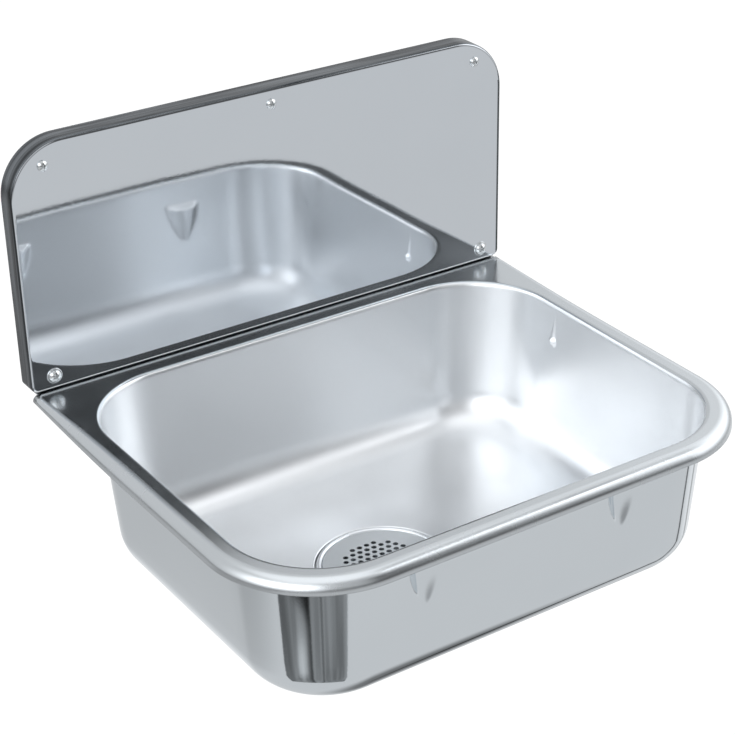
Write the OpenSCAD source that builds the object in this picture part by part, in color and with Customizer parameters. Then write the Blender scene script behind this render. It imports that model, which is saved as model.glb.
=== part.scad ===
// Wall-hung stainless steel slop sink: a pressed bowl with a rolled rim, a splashback and a strainer waste.
// Sizes are millimetres. X runs across the sink, Y towards the wall and Z up.
// The wall is the plane y = 0, the sink's centre line is x = 0 and the deck's top face is z = 0.

/* [Sink] */
// Width of the deck over its rolled edges, and of the splashback
sink_w = 450; // [405:1:500]
// Depth of the sink from the wall to the front of its rolled edge
deck_d = 379; // [330:1:420]
// Radius of the deck's two front corners
deck_corner_r = 90; // [60:1:110]
// Thickness of the sink's stainless sheet
sheet = 1.2; // [0.8:0.1:1.5]
// Height of the upstand that is turned up against the wall
upstand_h = 30; // [22:1:45]
// Inside radius of the upstand's bend
upstand_bend_r = 2; // [1:0.5:4]

/* [Rolled edge] */
// Radius of the rolled edge at the front
rim_r = 10; // [6:0.5:10]
// Radius of the rolled edge where it starts at the splashback
rim_start_r = 4.5; // [3:0.5:6]
// Distance over which the roll grows to its full radius
rim_grow = 150; // [60:5:250]
// Straight lip below the roll
rim_lip = 0.8; // [0.4:0.1:4]

/* [Bowl] */
// Distance from each side of the deck to the bowl's side wall, just under the deck
bowl_side = 21; // [18:1:40]
// Distance from the front of the deck to the bowl's front wall, just under the deck
bowl_front = 20; // [20:1:60]
// Distance from the room's wall to the bowl's back wall
bowl_back = 37; // [37:1:60]
// Depth of the bowl at the foot of its walls
bowl_depth = 128.8; // [100:1:180]
// Fall of the floor from the foot of the walls to the drain
floor_fall = 8; // [2:0.5:16]
// Radius of the bowl's corners in plan, just under the deck
bowl_corner_r = 72; // [62:1:90]
// Radius between the walls and the floor
bottom_r = 32; // [20:1:48]
// Slope of the walls in degrees
draft = 4.5; // [2:0.5:6]
// Radius of the edge between the deck and the walls
edge_r = 4; // [2.5:0.5:4]

/* [Pressed supports] */
// Distance of each front ledge from the centre line
ledge_x = 89; // [50:1:110]
// Depth of the ledges' flat tops below the deck
ledge_z = 26; // [20:1:40]
// Height of a ledge's tapering foot
ledge_h = 36; // [24:1:50]
// Radius of a ledge's top
ledge_r = 17; // [14:0.5:20]
// How far a ledge stands into the bowl
ledge_out = 9; // [6:0.5:12]
// Distance from the wall to the pip on each side wall
pip_y = 127; // [118:1:200]
// Depth of a pip's blunt lower end below the deck
pip_z = 33; // [26:1:50]
// Length of a pip's taper
pip_h = 22; // [12:1:24]
// Radius of a pip's blunt lower end
pip_r = 4; // [3:0.5:6]
// How far a pip stands into the bowl
pip_out = 3; // [2:0.5:4]

/* [Splashback] */
// Height of the splashback's top edge above the deck
splash_h = 203; // [150:1:400]
// Depth of the splashback from the wall to its front face
splash_d = 17.5; // [14:0.5:19]
// Thickness of the splashback's sheet
splash_sheet = 1; // [0.8:0.1:1.5]
// Outside radius of the splashback's folded edges
splash_fold_r = 2.3; // [1.6:0.1:3]
// Radius of the splashback's top corners
splash_top_r = 45; // [20:1:55]
// Radius of the splashback's bottom corners
splash_foot_r = 6; // [4:0.5:12]
// Thickness of the sealing strip below the splashback
seal_t = 0.8; // [0.5:0.1:3]

/* [Wall screws] */
// Distance of the two wall screws from the sink's sides
wall_screw_edge = 20; // [17:1:60]
// Height of the wall screws above the deck
wall_screw_z = 12; // [11:0.5:16]
// Shank diameter of a wall screw
wall_screw_d = 6; // [5:0.5:8]
// Length of a wall screw under its head
wall_screw_l = 58; // [50:1:100]
// Diameter of a wall screw's head
wall_screw_head_d = 10; // [9:0.5:14]
// Outside diameter of a wall screw's washer
washer_d = 12.8; // [11:0.2:18]
// Thickness of a wall screw's washer
washer_t = 0.8; // [0.5:0.1:2]

/* [Splashback screws] */
// Distance of the two outer upper screws from the sink's sides
top_screw_edge = 28; // [25:1:100]
// Distance of the two outer upper screws below the splashback's top edge
top_screw_drop = 18.5; // [15:0.5:40]
// Distance of the middle upper screw below the splashback's top edge
mid_screw_drop = 13; // [10:0.5:40]
// Shank diameter of an upper screw
top_screw_d = 4.2; // [3.5:0.1:5]
// Length of an upper screw under its head
top_screw_l = 34; // [30:1:80]
// Diameter of an upper screw's head
top_screw_head_d = 8.4; // [7:0.2:10]

/* [Wall brackets] */
// Distance of each bracket's middle from the sink's side
bracket_edge = 115; // [115:1:150]
// Width of a bracket
bracket_w = 40; // [24:1:44]
// Thickness of a bracket's plate
bracket_t = 3; // [2:0.5:5]
// Depth of a bracket's top leg below the deck
bracket_top = 30; // [20:1:32]
// Depth of a bracket's foot leg below its top face
bracket_h = 72; // [60:1:84]
// Height of the tab that carries the heel pad
tab_h = 24; // [22:1:30]
// Least thickness of the rubber heel pad
pad_t = 6; // [4:0.5:8]
// Diameter of the heel pad
pad_d = 20; // [12:1:22]
// Depth of the upper bracket screw below the bracket's top face
bracket_screw_top = 20; // [16:1:30]
// Distance between a bracket's two screws
bracket_screw_step = 33; // [24:1:36]
// Shank diameter of a bracket screw
bracket_screw_d = 6; // [5:0.5:8]
// Length of a bracket screw under its head
bracket_screw_l = 50; // [40:1:80]
// Diameter of a bracket screw's head
bracket_screw_head_d = 12; // [11:0.5:14]

/* [Drain] */
// Position of the drain across the sink
drain_x = -20; // [-60:1:60]
// Distance from the wall to the drain's centre
drain_y = 196; // [160:1:240]
// Radius of the hole in the bowl
drain_hole_r = 45; // [44.5:0.5:46.5]
// Radius of the recess that takes the waste's flange
recess_r = 54.5; // [54:0.5:60]
// Depth of the recess
recess_d = 3; // [2:0.5:4]

/* [Waste] */
// Radius of the waste flange over its rounded bead
flange_r = 53.4; // [52:0.2:53.8]
// Width of the flange's rounded bead
bead_w = 4.6; // [3:0.2:6]
// Height of the bead above the bowl's floor
bead_up = 1.2; // [0.4:0.1:3]
// Thickness of the flange's pressed sheet
cup_sheet = 1; // [0.8:0.1:1.5]
// Inside radius of the waste's cup
cup_r = 42; // [40:0.5:42.5]
// Depth of the cup below the strainer
cup_d = 26; // [18:1:40]
// Thickness of the foam seal under the flange
flange_seal_t = 1; // [0.6:0.1:1.5]
// Thickness of the rubber gasket below the bowl
gasket_t = 3; // [2:0.5:5]
// Radius of the waste body's flange and of its gasket
body_r = 57; // [56:0.5:64]
// Wall of the waste body
body_wall = 3; // [2.5:0.5:4]
// Gap between the cup's floor and the waste body's floor
body_gap = 9; // [6:0.5:20]
// Outside radius of the outlet's thread
outlet_r = 23.9; // [20:0.1:30]
// Wall of the outlet
outlet_wall = 3.9; // [2.5:0.1:5]
// Length of the outlet below the waste body
outlet_l = 32; // [20:1:60]
// Diameter of the clamping screw
clamp_d = 6; // [5:0.5:8]
// Length of the clamping screw under its head
clamp_l = 22; // [20:1:28]

/* [Strainer] */
// Thickness of the strainer's plate
strainer_t = 1.2; // [1:0.1:2]
// Clearance round the strainer's plate
strainer_gap = 0.5; // [0.3:0.1:1]
// Diameter of a strainer hole
strainer_hole_d = 4.4; // [3:0.1:5]
// Distance between neighbouring strainer holes
strainer_pitch = 6.8; // [6.4:0.1:10]
// Radius of the perforated area
strainer_zone_r = 35; // [20:1:37]

/* [Hidden] */

// Colours of the materials
steel = [0.76, 0.78, 0.80];
mirror_steel = [0.70, 0.73, 0.76];
zinc = [0.62, 0.64, 0.66];
brass = [0.80, 0.66, 0.36];
board = [0.55, 0.47, 0.36];
black_rubber = [0.12, 0.12, 0.12];
pale_seal = [0.62, 0.64, 0.65];
pale_plastic = [0.88, 0.88, 0.86];

// How finely the pressed bowl is divided: segments in each corner and on each straight
corner_steps = 12;
side_steps = 10;
lip_steps = 3;
bottom_steps = 6;
roll_steps = 5;
bend_steps = 3;
floor_steps = 4;
block = corner_steps + side_steps;
ring_n = 4 * block;
round_fn = 96;
hole_fn = 24;

// Clearances between pieces that pass through or sit beside one another
screw_gap = 0.4;
core_gap = 1.5;
upstand_gap = 0.4;
seal_inset = 1.2;
seat_gap = 0.3;
// How far a cutting tool runs past the face that it cuts
past = 1;

// Pan heads: height, dome radius and cross in head diameters; edge and recess in head heights
head_h = 0.34;
head_dome = 0.62;
head_edge = 0.42;
recess_h = 0.5;
cross_l = 0.56;
cross_w = 0.13;
// Screws below their heads, in shank diameters, and how far inside the wall their threads start
point_l = 1.2;
tip_w = 0.08;
neck_w = 0.72;
thread_from = 1;

// Places that follow the sink's outer size
half_w = sink_w / 2;
bowl_w = sink_w - 2 * bowl_side;
bowl_l = deck_d - bowl_back - bowl_front;
wall_screw_x = half_w - wall_screw_edge;
top_screw_x = half_w - top_screw_edge;
bracket_x = half_w - bracket_edge;

// Levels of the drain and of the waste under it
floor_z = -bowl_depth - floor_fall;
seat_z = floor_z - recess_d;
flange_bottom_z = seat_z + flange_seal_t;
ledge_top_z = flange_bottom_z + cup_sheet;
strainer_top_z = ledge_top_z + strainer_t;
bead_z = floor_z + bead_up;
bead_in_r = flange_r - bead_w;
strainer_r = bead_in_r - strainer_gap;
cup_floor_z = strainer_top_z - cup_d;
bowl_under_z = seat_z - sheet;
gasket_bottom_z = bowl_under_z - gasket_t;
gasket_in_r = drain_hole_r + 1;
body_flange_t = 5;
body_floor_z = cup_floor_z - cup_sheet - body_gap;
body_in_r = gasket_in_r;
outlet_end_z = body_floor_z - body_wall - outlet_l;
boss_wall = 4.5;
boss_r = clamp_d / 2 + boss_wall;
boss_top_z = cup_floor_z - cup_sheet;
boss_h = clamp_l - cup_sheet + 2;
rib_t = 3;
insert_wall = 1.5;
insert_r = clamp_d / 2 + insert_wall;
insert_l = 12;
cup_slots = 8;
cup_slot_d = 9;
cup_slot_ring = 24;

// Walls of the bowl: how far in from its top line the wall stands at height z
wall_top_z = -edge_r * (1 - sin(draft));
function wall_in(z) = (wall_top_z - z) * tan(draft) - edge_r * (1 - cos(draft));
bottom_centre_z = -bowl_depth + bottom_r;
bottom_centre_in = wall_in(bottom_centre_z - bottom_r * sin(draft)) + bottom_r * cos(draft);
bowl_mid_y = -bowl_back - bowl_l / 2;

// Section of the bowl from the deck down: inset, height and the direction of the sheet's other face
bowl_section = concat(
    [for (i = [0 : lip_steps]) let (a = (90 - draft) * i / lip_steps)
        [-edge_r * (1 - sin(a)), -edge_r * (1 - cos(a)), -sin(a), -cos(a)]],
    [for (i = [0 : bottom_steps]) let (a = draft + (90 - draft) * i / bottom_steps)
        [bottom_centre_in - bottom_r * cos(a), bottom_centre_z - bottom_r * sin(a), -cos(a), -sin(a)]]);
section_n = len(bowl_section);

// A point of the bowl's rounded rectangle, moved in by q; i runs anticlockwise from the right-hand side
function corner_sign(k) = [(k == 0 || k == 3) ? 1 : -1, k < 2 ? 1 : -1];
function corner_centre(k) = [corner_sign(k)[0] * (bowl_w / 2 - bowl_corner_r),
    bowl_mid_y + corner_sign(k)[1] * (bowl_l / 2 - bowl_corner_r)];
function dir(a) = [cos(a), sin(a)];
function on_corner(k, a, q) = corner_centre(k) + (bowl_corner_r - q) * dir(a);
function step_angle(k, j) = 90 * k + 90 * j / corner_steps;
function between(a, b, w) = a + (b - a) * w;
function bowl_point(i, q) = let (k = floor(i / block) % 4, j = i % block)
    j <= corner_steps ? on_corner(k, step_angle(k, j), q)
    : between(on_corner(k, 90 * k + 90, q), on_corner((k + 1) % 4, 90 * k + 90, q),
        (j - corner_steps) / side_steps);

// A point of the floor: w = 1 at the foot of the walls and w = 0 on a circle round the drain
drain_centre = [drain_x, -drain_y];
function foot_point(i) = bowl_point(i, bottom_centre_in);
function drain_point(i, r) = let (d = foot_point(i) - drain_centre) drain_centre + d * r / norm(d);
function floor_point(i, r, w) = between(drain_point(i, r), foot_point(i), w);

// The roll's radius at a place y, and the line on the deck where the roll begins
roll_front_r = rim_r;
function roll_r(y) = let (s = min(1, max(0, (-y - splash_d) / rim_grow)))
    rim_start_r + (roll_front_r - rim_start_r) * sin(90 * s);
back_y = -splash_d;
outer_corner = [half_w - deck_corner_r, -deck_d + deck_corner_r];
function outer_centre(k) = [corner_sign(k)[0] * outer_corner[0], outer_corner[1]];
function side_point(sx, y) = [sx * (half_w - roll_r(y)), y];
function front_corner_point(k, a) = let (c = outer_centre(k), y = c[1] + deck_corner_r * sin(a))
    c + (deck_corner_r - roll_r(y)) * dir(a);
half_steps = corner_steps / 2;
// Back corners: points run along the side to the square corner, then along the back edge
function back_corner_point(k, j) = let (sx = corner_sign(k)[0], c = corner_centre(k),
        w = k == 0 ? j / half_steps : 2 - j / half_steps)
    w <= 1 ? side_point(sx, between(c[1], back_y, w))
    : [sx * between(half_w - rim_start_r, abs(c[0]), w - 1), back_y];
function deck_corner_point(k, j) = k < 2 ? back_corner_point(k, j)
    : front_corner_point(k, step_angle(k, j));
function deck_side_point(k, w) = let (a = deck_corner_point(k, corner_steps),
        b = deck_corner_point((k + 1) % 4, 0), y = between(a[1], b[1], w))
    (k == 1 || k == 3) ? side_point(corner_sign(k)[0], y) : between(a, b, w);
function deck_point(i) = let (k = floor(i / block) % 4, j = i % block)
    j <= corner_steps ? deck_corner_point(k, j)
    : deck_side_point(k, (j - corner_steps) / side_steps);
// Direction in plan in which the roll turns over
function roll_dir(i) = let (k = floor(i / block) % 4, j = i % block)
    k < 2 && j <= corner_steps ? [corner_sign(k)[0], 0]
    : j <= corner_steps ? dir(step_angle(k, j))
    : dir(90 * k + 90);

function at_height(p, z) = [p[0], p[1], z];
// Closed rings from the drain hole outwards: recess, floor, foot, walls, lip and deck; s = 0 inside, 1 outside
edge_round = 0.8;
recess_rings = [[0, drain_hole_r, 0], [0, recess_r - edge_round, 0], [0, recess_r, edge_round],
    [0, recess_r, recess_d - edge_round], [0, recess_r + edge_round, recess_d]];
function recess_ring(n, s) = let (q = recess_rings[n], r = n == 0 ? q[1] : q[1] + s * sheet)
    [for (i = [0 : ring_n - 1]) at_height(drain_point(i, r), seat_z + q[2] - s * sheet)];
function floor_ring(w, s) = let (r = recess_r + edge_round + s * sheet, z = between(floor_z, -bowl_depth, w))
    [for (i = [0 : ring_n - 1]) at_height(floor_point(i, r, w), z - s * sheet)];
function section_ring(n, s) = let (q = bowl_section[n])
    [for (i = [0 : ring_n - 1]) at_height(bowl_point(i, q[0] + s * sheet * q[2]), q[1] + s * sheet * q[3])];
function deck_ring(s) = [for (i = [0 : ring_n - 1]) at_height(deck_point(i), -s * sheet)];
function skin(s) = concat(
    [for (n = [0 : len(recess_rings) - 1]) recess_ring(n, s)],
    [for (n = [1 : floor_steps - 1]) floor_ring(n / floor_steps, s)],
    [for (n = [section_n - 1 : -1 : 0]) section_ring(n, s)],
    [deck_ring(s)]);

// Open rows: the roll round both sides and the front, and the upstand along the back
corner_left = block + half_steps;
corner_right = ring_n + half_steps;
roll_n = corner_right - corner_left;
back_n = corner_left - half_steps;
roll_rows = roll_steps + 1;
function roll_point(i, m, s) = let (p = deck_point(i % ring_n), r = roll_r(p[1]),
        a = 90 * min(1, m / roll_steps), low = m > roll_steps ? rim_lip : 0)
    at_height(p + roll_dir(i % ring_n) * (r - s * sheet) * sin(a), -r + (r - s * sheet) * cos(a) - low);
function roll_row(m, s) = [for (u = [0 : roll_n]) roll_point(corner_left + u, m, s)];
back_rows = bend_steps + 2;
bend_y = -sheet - upstand_bend_r;
function upstand_section(m, s) = m == 0 ? [back_y, -s * sheet]
    : m == back_rows ? [-(1 - s) * sheet, upstand_h]
    : let (a = 90 * (m - 1) / bend_steps, r = upstand_bend_r + s * sheet)
        [bend_y + r * sin(a), upstand_bend_r - r * cos(a)];
function upstand_row(m, s) = let (q = upstand_section(m, s))
    [for (u = [0 : back_n]) [deck_point(half_steps + u)[0], q[0], q[1]]];

// Joins two rows of point numbers with triangles, the diagonals all one way
function strip(a, b) = [for (i = [0 : len(a) - 2]) each [[a[i], a[i + 1], b[i + 1]], [a[i], b[i + 1], b[i]]]];
function closed(row) = concat(row, [row[0]]);
function numbers(from, count) = [for (i = [0 : count - 1]) from + i];
function flipped(faces) = [for (f = faces) [f[2], f[1], f[0]]];
function column(rows, i) = [for (r = rows) r[i]];
function strips(rows) = [for (n = [0 : len(rows) - 2]) each strip(rows[n], rows[n + 1])];
function last(v) = v[len(v) - 1];

// One pressed sheet with an inside skin, an outside skin and closed edges
module pressed_sheet() {
    inside = skin(0);
    outside = skin(1);
    ring_count = len(inside);
    skin_n = ring_count * ring_n;
    roll_from = 2 * skin_n;
    roll_skin_n = roll_rows * (roll_n + 1);
    back_from = roll_from + 2 * roll_skin_n;
    back_skin_n = back_rows * (back_n + 1);
    points = concat(
        [for (r = inside) each r],
        [for (r = outside) each r],
        [for (s = [0, 1]) each [for (m = [1 : roll_rows]) each roll_row(m, s)]],
        [for (s = [0, 1]) each [for (m = [1 : back_rows]) each upstand_row(m, s)]]);
    function ring(n, s) = numbers(s * skin_n + n * ring_n, ring_n);
    function edge(i, s) = s * skin_n + (ring_count - 1) * ring_n + i % ring_n;
    function roll_line(m, s) = m == 0 ? [for (u = [0 : roll_n]) edge(corner_left + u, s)]
        : numbers(roll_from + s * roll_skin_n + (m - 1) * (roll_n + 1), roll_n + 1);
    function back_line(m, s) = m == 0 ? [for (u = [0 : back_n]) edge(half_steps + u, s)]
        : numbers(back_from + s * back_skin_n + (m - 1) * (back_n + 1), back_n + 1);
    rings = [for (s = [0, 1]) [for (n = [0 : ring_count - 1]) closed(ring(n, s))]];
    rolls = [for (s = [0, 1]) [for (m = [0 : roll_rows]) roll_line(m, s)]];
    backs = [for (s = [0, 1]) [for (m = [0 : back_rows]) back_line(m, s)]];
    function open_sheet(rows) = concat(strips(rows[0]), flipped(strips(rows[1])),
        strip(last(rows[0]), last(rows[1])),
        strip(column(rows[0], 0), column(rows[1], 0)),
        strip(column(rows[1], len(rows[0][0]) - 1), column(rows[0], len(rows[0][0]) - 1)));
    faces = concat(strips(rings[0]), flipped(strips(rings[1])),
        strip(rings[1][0], rings[0][0]), open_sheet(rolls), open_sheet(backs));
    polyhedron(points = points, faces = faces, convexity = 12);
}

// Places its children on the bowl's front wall, with the wall's inner face as the plane y = 0
module on_front_wall(x) {
    translate([x, -bowl_back - bowl_l, 0])
        rotate([draft, 0, 0])
            children();
}

// How far the tapered ends of the ledges and of the pips run into the wall's thickness
ledge_sunk = 1;
pip_sunk = 0.4;

// A ledge's cone; grown by a negative amount it is the hollow behind the ledge
module ledge_cone(grow) {
    axis_out = ledge_r - ledge_out;
    translate([0, -axis_out, -ledge_z - ledge_h])
        cylinder(h = ledge_h + grow, r1 = axis_out - ledge_sunk + grow, r2 = ledge_r + grow, $fn = round_fn);
}

module ledge() {
    difference() {
        ledge_cone(0);
        translate([-ledge_r - past, -3 * ledge_r - sheet / 2, -ledge_z - ledge_h - past])
            cube([2 * ledge_r + 2 * past, 3 * ledge_r, ledge_h + 2 * past]);
    }
}

// A narrow pip on a side wall, blunt at its lower end; side is 1 on the right and -1 on the left
module pip(side) {
    axis_out = pip_r - pip_out;
    translate([side * bowl_w / 2, -pip_y, 0])
        rotate([0, side * draft, 0])
            difference() {
                translate([side * axis_out, 0, -pip_z]) {
                    cylinder(h = pip_h, r1 = pip_r, r2 = axis_out - pip_sunk, $fn = round_fn / 2);
                    sphere(r = pip_r, $fn = round_fn / 2);
                }
                translate([side > 0 ? sheet / 2 : -3 * pip_r - sheet / 2, -2 * pip_r, -pip_z - 2 * pip_r])
                    cube([3 * pip_r, 4 * pip_r, pip_h + 4 * pip_r]);
            }
}

module basin() {
    color(steel) {
        difference() {
            union() {
                pressed_sheet();
                for (side = [-1, 1]) {
                    on_front_wall(side * ledge_x)
                        ledge();
                    pip(side);
                }
            }
            for (side = [-1, 1]) {
                on_front_wall(side * ledge_x)
                    ledge_cone(-sheet);
                wall_bore(side * wall_screw_x, wall_screw_z, wall_screw_d + 2 * screw_gap, -sheet - past, past);
            }
        }
    }
}

// A straight round hole through to the wall, from y = from to y = to
module wall_bore(x, z, d, from, to) {
    translate([x, to, z])
        rotate([90, 0, 0])
            cylinder(h = to - from, d = d, $fn = round_fn);
}

// Outline of the splashback with its edges moved in by q
foot_z = seal_t;
module splash_outline(q) {
    w = half_w - q;
    top = splash_h - q;
    foot = foot_z + q;
    rt = splash_top_r - q;
    rf = splash_foot_r - q;
    translate([-w, foot + rf])
        square([2 * w, top - foot - rt - rf]);
    translate([-w + rt, foot + rf])
        square([2 * (w - rt), top - foot - rf]);
    translate([-w + rf, foot])
        square([2 * (w - rf), rf]);
    for (side = [-1, 1]) {
        translate([side * (w - rt), top - rt])
            circle(r = rt, $fn = 2 * round_fn);
        translate([side * (w - rf), foot + rf])
            circle(r = rf, $fn = round_fn);
    }
}

// Section of the splashback's folded edge: across from its outer edge and out from the wall
module fold_section() {
    fold = splash_fold_r;
    square([splash_sheet, splash_d - fold]);
    translate([fold, splash_d - fold])
        intersection() {
            difference() {
                circle(r = fold, $fn = round_fn);
                circle(r = fold - splash_sheet, $fn = round_fn);
            }
            translate([-fold, 0])
                square(fold);
        }
}

// The folded edge round one corner of the splashback and along the straight edge before it
module folded_edge(centre, start, r, run) {
    translate(centre)
        rotate([0, 0, start]) {
            rotate_extrude(angle = 90, $fn = 2 * round_fn)
                translate([r, 0])
                    mirror([1, 0])
                        fold_section();
            rotate([90, 0, 0])
                linear_extrude(run)
                    translate([r, 0])
                        mirror([1, 0])
                            fold_section();
        }
}

// The splashback's sheet: a flat face and four folded edges
module splash_sheet_metal() {
    top_x = half_w - splash_top_r;
    top_z = splash_h - splash_top_r;
    low_x = half_w - splash_foot_r;
    low_z = foot_z + splash_foot_r;
    rotate([90, 0, 0]) {
        translate([0, 0, splash_d - splash_sheet])
            linear_extrude(splash_sheet)
                splash_outline(splash_fold_r);
        folded_edge([top_x, top_z], 0, splash_top_r, top_z - low_z);
        folded_edge([-top_x, top_z], 90, splash_top_r, 2 * top_x);
        folded_edge([-low_x, low_z], 180, splash_foot_r, top_z - low_z);
        folded_edge([low_x, low_z], 270, splash_foot_r, 2 * low_x);
    }
}

top_screw_z = splash_h - top_screw_drop;
mid_screw_z = splash_h - mid_screw_drop;
upper_screws = [[-top_screw_x, top_screw_z], [0, mid_screw_z], [top_screw_x, top_screw_z]];
wall_screws_at = [[-wall_screw_x, wall_screw_z], [wall_screw_x, wall_screw_z]];
// Back of everything in the splashback that has to clear the upstand
core_back_y = -sheet - upstand_gap;

module splash_bores(from, to) {
    for (p = upper_screws)
        wall_bore(p[0], p[1], top_screw_d + 2 * screw_gap, from, to);
    for (p = wall_screws_at)
        wall_bore(p[0], p[1], wall_screw_d + 2 * screw_gap, from, to);
}

module splashback() {
    strip_w = sink_w - 2 * rim_start_r + 2 * upstand_gap;
    color(mirror_steel)
        difference() {
            splash_sheet_metal();
            translate([-strip_w / 2, core_back_y, foot_z - past])
                cube([strip_w, past - core_back_y, splash_foot_r]);
            splash_bores(-splash_d - past, past);
        }
}

module splashback_core() {
    color(board)
        difference() {
            translate([0, core_back_y, 0])
                rotate([90, 0, 0])
                    linear_extrude(splash_d - splash_sheet + core_back_y)
                        splash_outline(splash_sheet + core_gap);
            splash_bores(-splash_d, past);
        }
}

module foot_seal() {
    strip_l = sink_w - 2 * rim_start_r - 2 * seal_inset;
    strip_d = splash_d - seal_inset - splash_fold_r + bend_y;
    color(pale_seal)
        translate([-strip_l / 2, bend_y - strip_d, 0])
            cube([strip_l, strip_d, seal_t]);
}

// A screw that points at the wall: its head stands out from y = face and has a cross recess, its neck is
// thinner than its thread, and the thread starts just inside the wall
module pan_screw(x, z, face, d, l, head_d) {
    neck_l = thread_from - face;
    h = head_d * head_h;
    dome_r = head_d * head_dome;
    flat_h = h * head_edge;
    translate([x, face, z])
        rotate([90, 0, 0]) {
            difference() {
                union() {
                    cylinder(h = flat_h, d = head_d, $fn = round_fn);
                    intersection() {
                        translate([0, 0, h - dome_r])
                            sphere(r = dome_r, $fn = round_fn);
                        cylinder(h = h + past, d = head_d, $fn = round_fn);
                    }
                }
                for (turn = [0, 90])
                    rotate([0, 0, turn])
                        translate([-head_d * cross_l / 2, -head_d * cross_w / 2, h * (1 - recess_h)])
                            cube([head_d * cross_l, head_d * cross_w, h]);
            }
            translate([0, 0, -neck_l])
                cylinder(h = neck_l, d = d * neck_w, $fn = round_fn);
            translate([0, 0, -l + point_l * d])
                cylinder(h = l - neck_l - point_l * d, d = d, $fn = round_fn);
            translate([0, 0, -l])
                cylinder(h = point_l * d, r1 = d * tip_w, r2 = d / 2, $fn = round_fn);
        }
}

module wall_screws() {
    color(steel)
        for (p = wall_screws_at)
            pan_screw(p[0], p[1], -splash_d - washer_t, wall_screw_d, wall_screw_l, wall_screw_head_d);
}

module wall_screw_washers() {
    color(steel)
        for (p = wall_screws_at)
            difference() {
                wall_bore(p[0], p[1], washer_d, -splash_d - washer_t, -splash_d);
                wall_bore(p[0], p[1], wall_screw_d + screw_gap, -splash_d - washer_t - past, -splash_d + past);
            }
}

module splashback_screws() {
    color(steel)
        for (p = upper_screws)
            pan_screw(p[0], p[1], -splash_d, top_screw_d, top_screw_l, top_screw_head_d);
}

// Levels of a bracket, from the deck's underside down
bracket_top_z = -sheet;
foot_leg_z = bracket_top_z - bracket_h;
tab_mid_z = foot_leg_z + bracket_t - tab_h / 2;
bowl_face_y = -bowl_back - wall_in(tab_mid_z) + sheet / cos(draft);
tab_y = bowl_face_y + pad_t;
bracket_screw_zs = [bracket_top_z - bracket_screw_top, bracket_top_z - bracket_screw_top - bracket_screw_step];

module bracket(x) {
    t = bracket_t;
    low = foot_leg_z;
    color(zinc)
        difference() {
            translate([x - bracket_w / 2, 0, 0])
                rotate([90, 0, 90])
                    linear_extrude(bracket_w)
                        polygon([[0, bracket_top_z], [-bracket_top, bracket_top_z],
                            [-bracket_top, bracket_top_z - t], [-t, bracket_top_z - t],
                            [-t, low + t], [tab_y, low + t], [tab_y, low + t - tab_h],
                            [tab_y + t, low + t - tab_h], [tab_y + t, low], [0, low]]);
            for (z = bracket_screw_zs)
                wall_bore(x, z, bracket_screw_d + 2 * screw_gap, -t - past, past);
        }
}

module left_wall_bracket() {
    bracket(-bracket_x);
}

module right_wall_bracket() {
    bracket(bracket_x);
}

module bracket_screws() {
    color(zinc)
        for (side = [-1, 1])
            for (z = bracket_screw_zs)
                pan_screw(side * bracket_x, z, -bracket_t,
                    bracket_screw_d, bracket_screw_l, bracket_screw_head_d);
}

// Rubber pads between the brackets' tabs and the bowl's sloping back wall
module heel_pads() {
    color(black_rubber)
        for (side = [-1, 1])
            difference() {
                wall_bore(side * bracket_x, tab_mid_z, pad_d, tab_y - 3 * pad_t, tab_y);
                translate([side * bracket_x, bowl_face_y + seat_gap, tab_mid_z])
                    rotate([-draft, 0, 0])
                        translate([-pad_d, -6 * pad_t, -pad_d])
                            cube([2 * pad_d, 6 * pad_t, 2 * pad_d]);
            }
}

// Puts its children on the drain's axis
module at_drain() {
    translate([drain_x, -drain_y, 0])
        children();
}

module ring(r_in, r_out, z, h) {
    translate([0, 0, z])
        difference() {
            cylinder(h = h, r = r_out, $fn = round_fn);
            translate([0, 0, -past])
                cylinder(h = h + 2 * past, r = r_in, $fn = round_fn);
        }
}

// Centres of the strainer's holes, in rows that are offset by half a step
hole_rows = ceil(strainer_zone_r / strainer_pitch) + 1;
row_step = strainer_pitch * sin(60);
strainer_holes = [for (n = [-hole_rows : hole_rows]) for (m = [-hole_rows : hole_rows])
    let (p = [(m + (n % 2 == 0 ? 0 : 0.5)) * strainer_pitch, n * row_step])
    if (norm(p) <= strainer_zone_r - strainer_hole_d / 2) p];

module strainer() {
    color(steel)
        at_drain()
            translate([0, 0, ledge_top_z])
                linear_extrude(strainer_t)
                    difference() {
                        circle(r = strainer_r, $fn = round_fn);
                        for (p = strainer_holes)
                            translate(p)
                                circle(d = strainer_hole_d, $fn = hole_fn);
                    }
}

// Pressed cup with a flange and a rounded bead, turned about the drain's axis
module waste_flange() {
    bead_r = bead_w / 2;
    color(mirror_steel)
        at_drain()
            difference() {
                rotate_extrude($fn = round_fn) {
                    intersection() {
                        translate([flange_r - bead_r, bead_z - bead_r])
                            circle(r = bead_r, $fn = round_fn / 2);
                        translate([bead_in_r, flange_bottom_z])
                            square([bead_w, bead_w]);
                    }
                    translate([bead_in_r, flange_bottom_z])
                        square([bead_w, bead_z - bead_r - flange_bottom_z]);
                    translate([cup_r, flange_bottom_z])
                        square([bead_in_r - cup_r + cup_sheet, cup_sheet]);
                    translate([cup_r, cup_floor_z])
                        square([cup_sheet, ledge_top_z - cup_floor_z]);
                    translate([0, cup_floor_z - cup_sheet])
                        square([cup_r + cup_sheet, cup_sheet]);
                }
                translate([0, 0, cup_floor_z - cup_sheet - past]) {
                    cylinder(h = cup_sheet + 2 * past, d = clamp_d + 2 * screw_gap, $fn = round_fn);
                    for (n = [0 : cup_slots - 1])
                        rotate([0, 0, 360 * n / cup_slots])
                            translate([cup_slot_ring, 0, 0])
                                cylinder(h = cup_sheet + 2 * past, d = cup_slot_d, $fn = round_fn / 2);
                }
            }
}

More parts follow.
